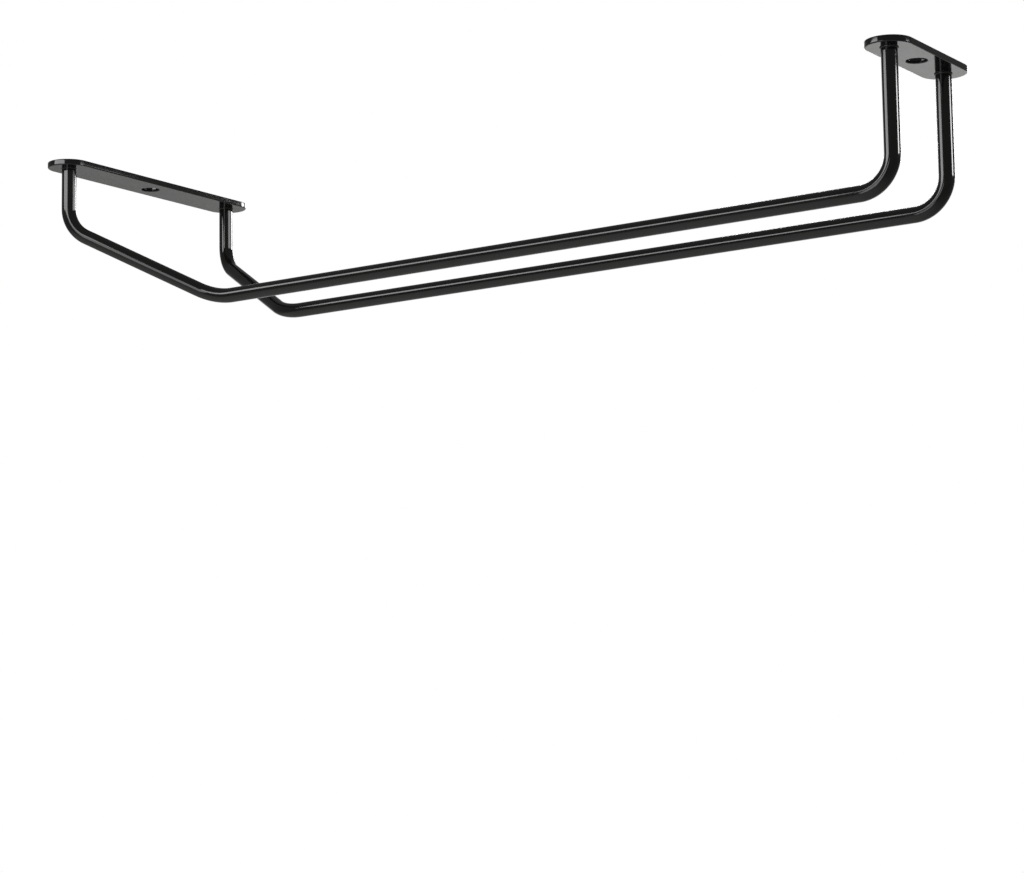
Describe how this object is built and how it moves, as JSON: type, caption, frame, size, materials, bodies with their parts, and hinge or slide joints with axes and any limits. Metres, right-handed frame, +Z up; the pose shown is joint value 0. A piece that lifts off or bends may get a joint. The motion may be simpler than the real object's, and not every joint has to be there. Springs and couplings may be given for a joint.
{
  "type": "hanging wine glass rack",
  "caption": "Under-shelf wine glass rack: bent wire rails welded below flat screw-on plates, with a flared mouth for sliding in stemware.",
  "frame": {"origin": "on the top face of the front plate, which is the mounting plane, on its centre line and 5.8 mm behind the centre of its screw hole", "axes": "+Z up to the shelf, normal to the mounting plane; +X from the open, flared mouth back along the rails to the closed end; Y across the rack, which is symmetric about Y = 0"},
  "size_m": [0.343, 0.109, 0.0558],
  "materials": {
    "gloss_black_coat": "gloss black baked enamel over steel",
    "coated_weld": "the same black enamel over a slightly rippled weld bead"
  },
  "bodies": {
    "root": {"front_plate": "gloss_black_coat", "rear_plate": "gloss_black_coat", "rail_left": "gloss_black_coat", "rail_right": "gloss_black_coat", "weld_front_left": "coated_weld", "weld_front_right": "coated_weld", "weld_rear_left": "coated_weld", "weld_rear_right": "coated_weld"}
  },
  "joints": []
}
